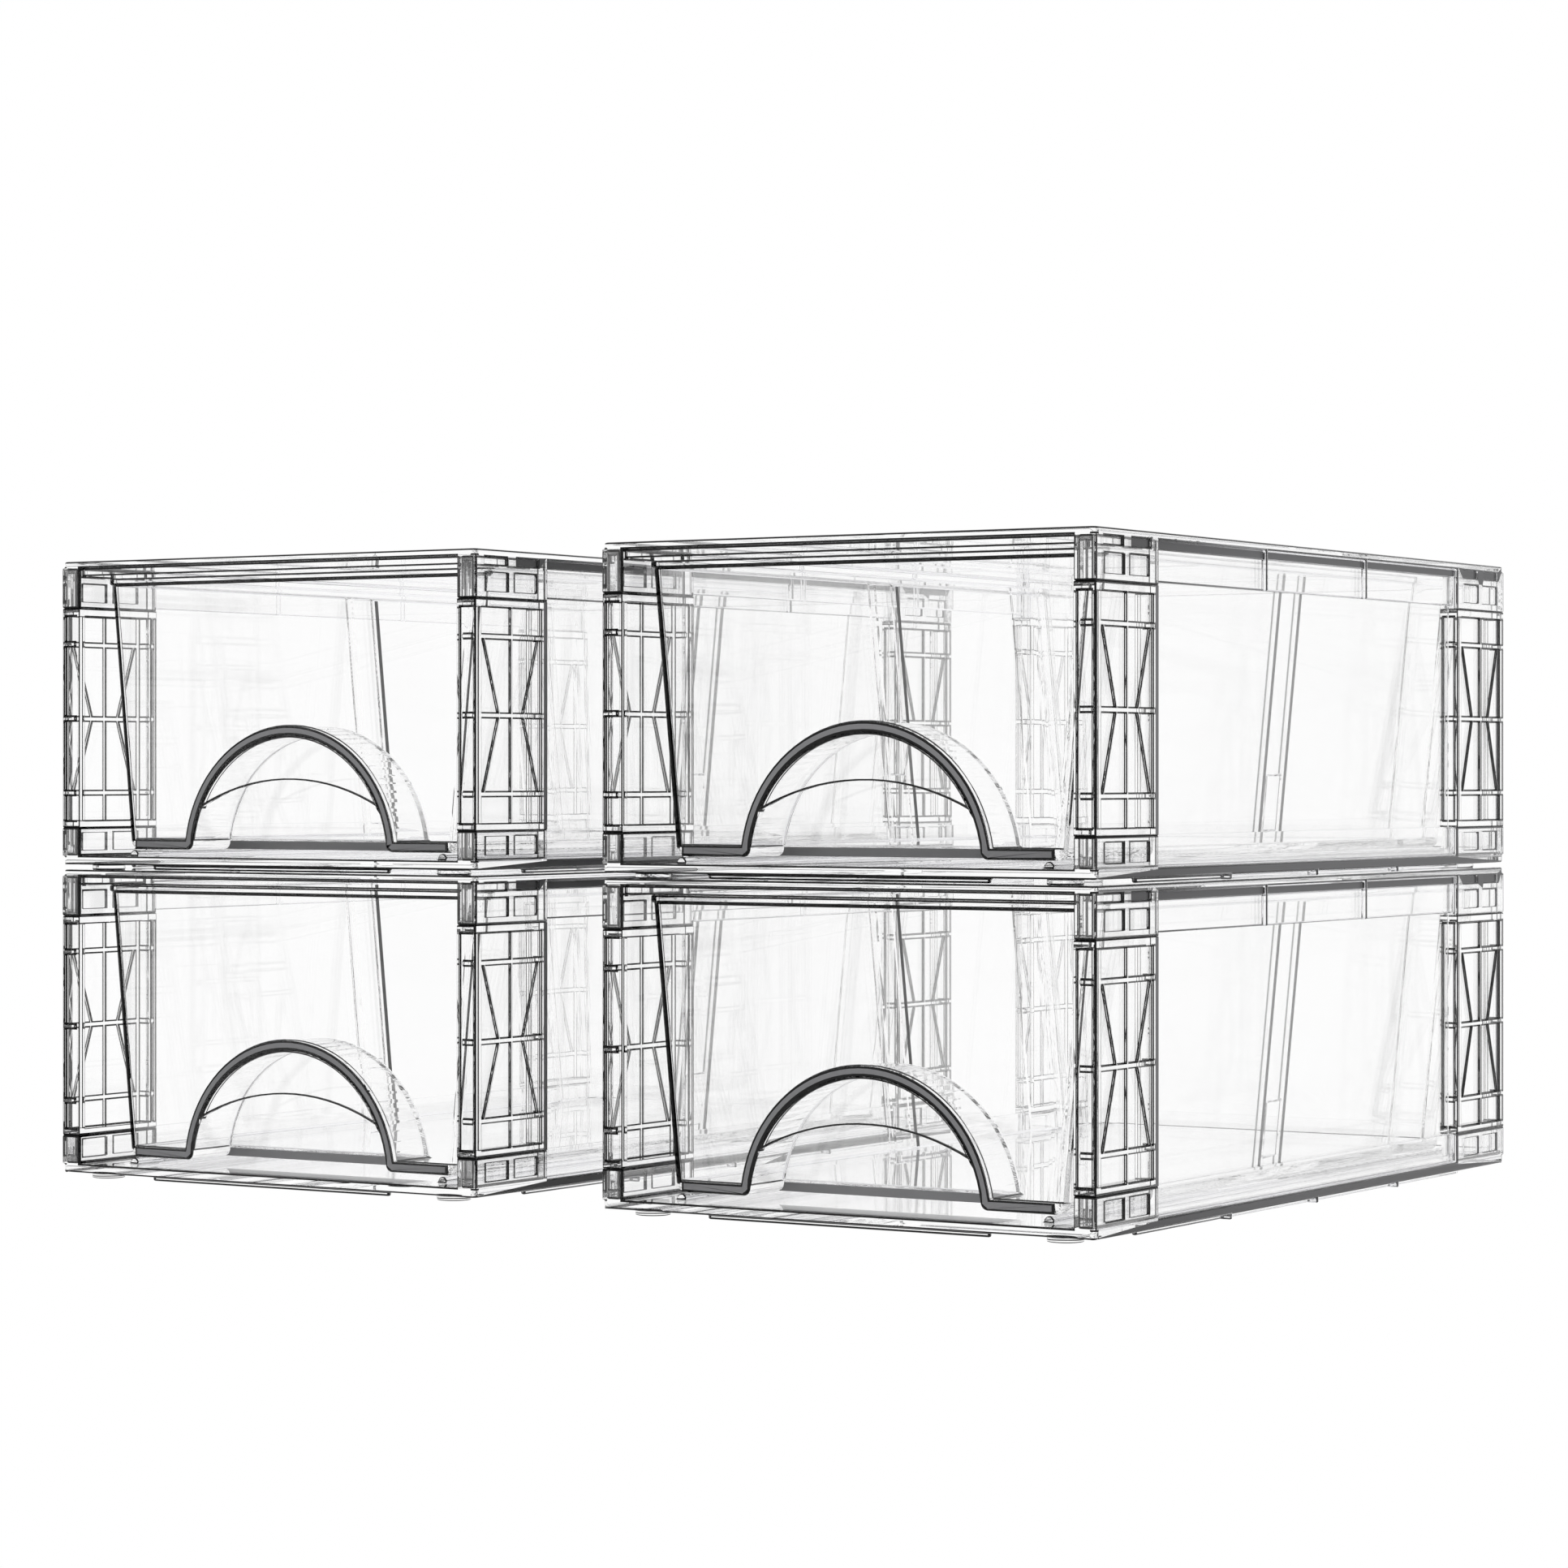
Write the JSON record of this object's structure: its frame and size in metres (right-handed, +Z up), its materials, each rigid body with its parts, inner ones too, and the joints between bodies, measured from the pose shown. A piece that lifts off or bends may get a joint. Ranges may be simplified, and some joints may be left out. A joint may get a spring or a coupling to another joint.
{
  "type": "stacking storage drawers",
  "caption": "Clear plastic stacking storage units, each a panel and post case with a tapered pull-out drawer and an arched finger pull, set in two short stacks side by side.",
  "frame": {"origin": "on the surface the stacks stand on, under the middle of the whole group", "axes": "+X to the right along the row of stacks, fronts and drawer pulls towards -Y, +Z up"},
  "size_m": [0.4834, 0.368, 0.2524],
  "materials": {
    "case_clear": "moulded clear polystyrene, polished",
    "post_clear": "moulded clear polystyrene, polished",
    "sheet_clear": "clear sheet, polished both sides",
    "drawer_clear": "moulded clear polystyrene, polished",
    "feet": "soft translucent pad"
  },
  "bodies": {
    "lower_cases": {"lower_left_base_panel": "case_clear", "lower_left_top_panel": "case_clear", "lower_left_post_front_right": "post_clear", "lower_left_post_rear_right": "post_clear", "lower_left_post_front_left": "post_clear", "lower_left_post_rear_left": "post_clear", "lower_left_side_sheet_right": "sheet_clear", "lower_left_side_sheet_left": "sheet_clear", "lower_left_back_sheet": "sheet_clear", "lower_left_feet": "feet", "lower_right_base_panel": "case_clear", "lower_right_top_panel": "case_clear", "lower_right_post_front_right": "post_clear", "lower_right_post_rear_right": "post_clear", "lower_right_post_front_left": "post_clear", "lower_right_post_rear_left": "post_clear", "lower_right_side_sheet_right": "sheet_clear", "lower_right_side_sheet_left": "sheet_clear", "lower_right_back_sheet": "sheet_clear", "lower_right_feet": "feet"},
    "lower_left_drawer": {"lower_left_drawer": "drawer_clear"},
    "lower_right_drawer": {"lower_right_drawer": "drawer_clear"},
    "upper_left_case": {"upper_left_base_panel": "case_clear", "upper_left_top_panel": "case_clear", "upper_left_post_front_right": "post_clear", "upper_left_post_rear_right": "post_clear", "upper_left_post_front_left": "post_clear", "upper_left_post_rear_left": "post_clear", "upper_left_side_sheet_right": "sheet_clear", "upper_left_side_sheet_left": "sheet_clear", "upper_left_back_sheet": "sheet_clear", "upper_left_feet": "feet"},
    "upper_right_case": {"upper_right_base_panel": "case_clear", "upper_right_top_panel": "case_clear", "upper_right_post_front_right": "post_clear", "upper_right_post_rear_right": "post_clear", "upper_right_post_front_left": "post_clear", "upper_right_post_rear_left": "post_clear", "upper_right_side_sheet_right": "sheet_clear", "upper_right_side_sheet_left": "sheet_clear", "upper_right_back_sheet": "sheet_clear", "upper_right_feet": "feet"},
    "upper_left_drawer": {"upper_left_drawer": "drawer_clear"},
    "upper_right_drawer": {"upper_right_drawer": "drawer_clear"}
  },
  "joints": [
    {"name": "upper_left_lift", "type": "slide", "parent": "lower_cases", "child": "upper_left_case", "axis": [0, 0, 1], "range_m": [0, 0.1]},
    {"name": "upper_right_lift", "type": "slide", "parent": "lower_cases", "child": "upper_right_case", "axis": [0, 0, 1], "range_m": [0, 0.1]},
    {"name": "lower_left_drawer_pull", "type": "slide", "parent": "lower_cases", "child": "lower_left_drawer", "axis": [0, -1, 0], "range_m": [0, 0.26]},
    {"name": "lower_right_drawer_pull", "type": "slide", "parent": "lower_cases", "child": "lower_right_drawer", "axis": [0, -1, 0], "range_m": [0, 0.26]},
    {"name": "upper_left_drawer_pull", "type": "slide", "parent": "upper_left_case", "child": "upper_left_drawer", "axis": [0, -1, 0], "range_m": [0, 0.26]},
    {"name": "upper_right_drawer_pull", "type": "slide", "parent": "upper_right_case", "child": "upper_right_drawer", "axis": [0, -1, 0], "range_m": [0, 0.26]}
  ]
}
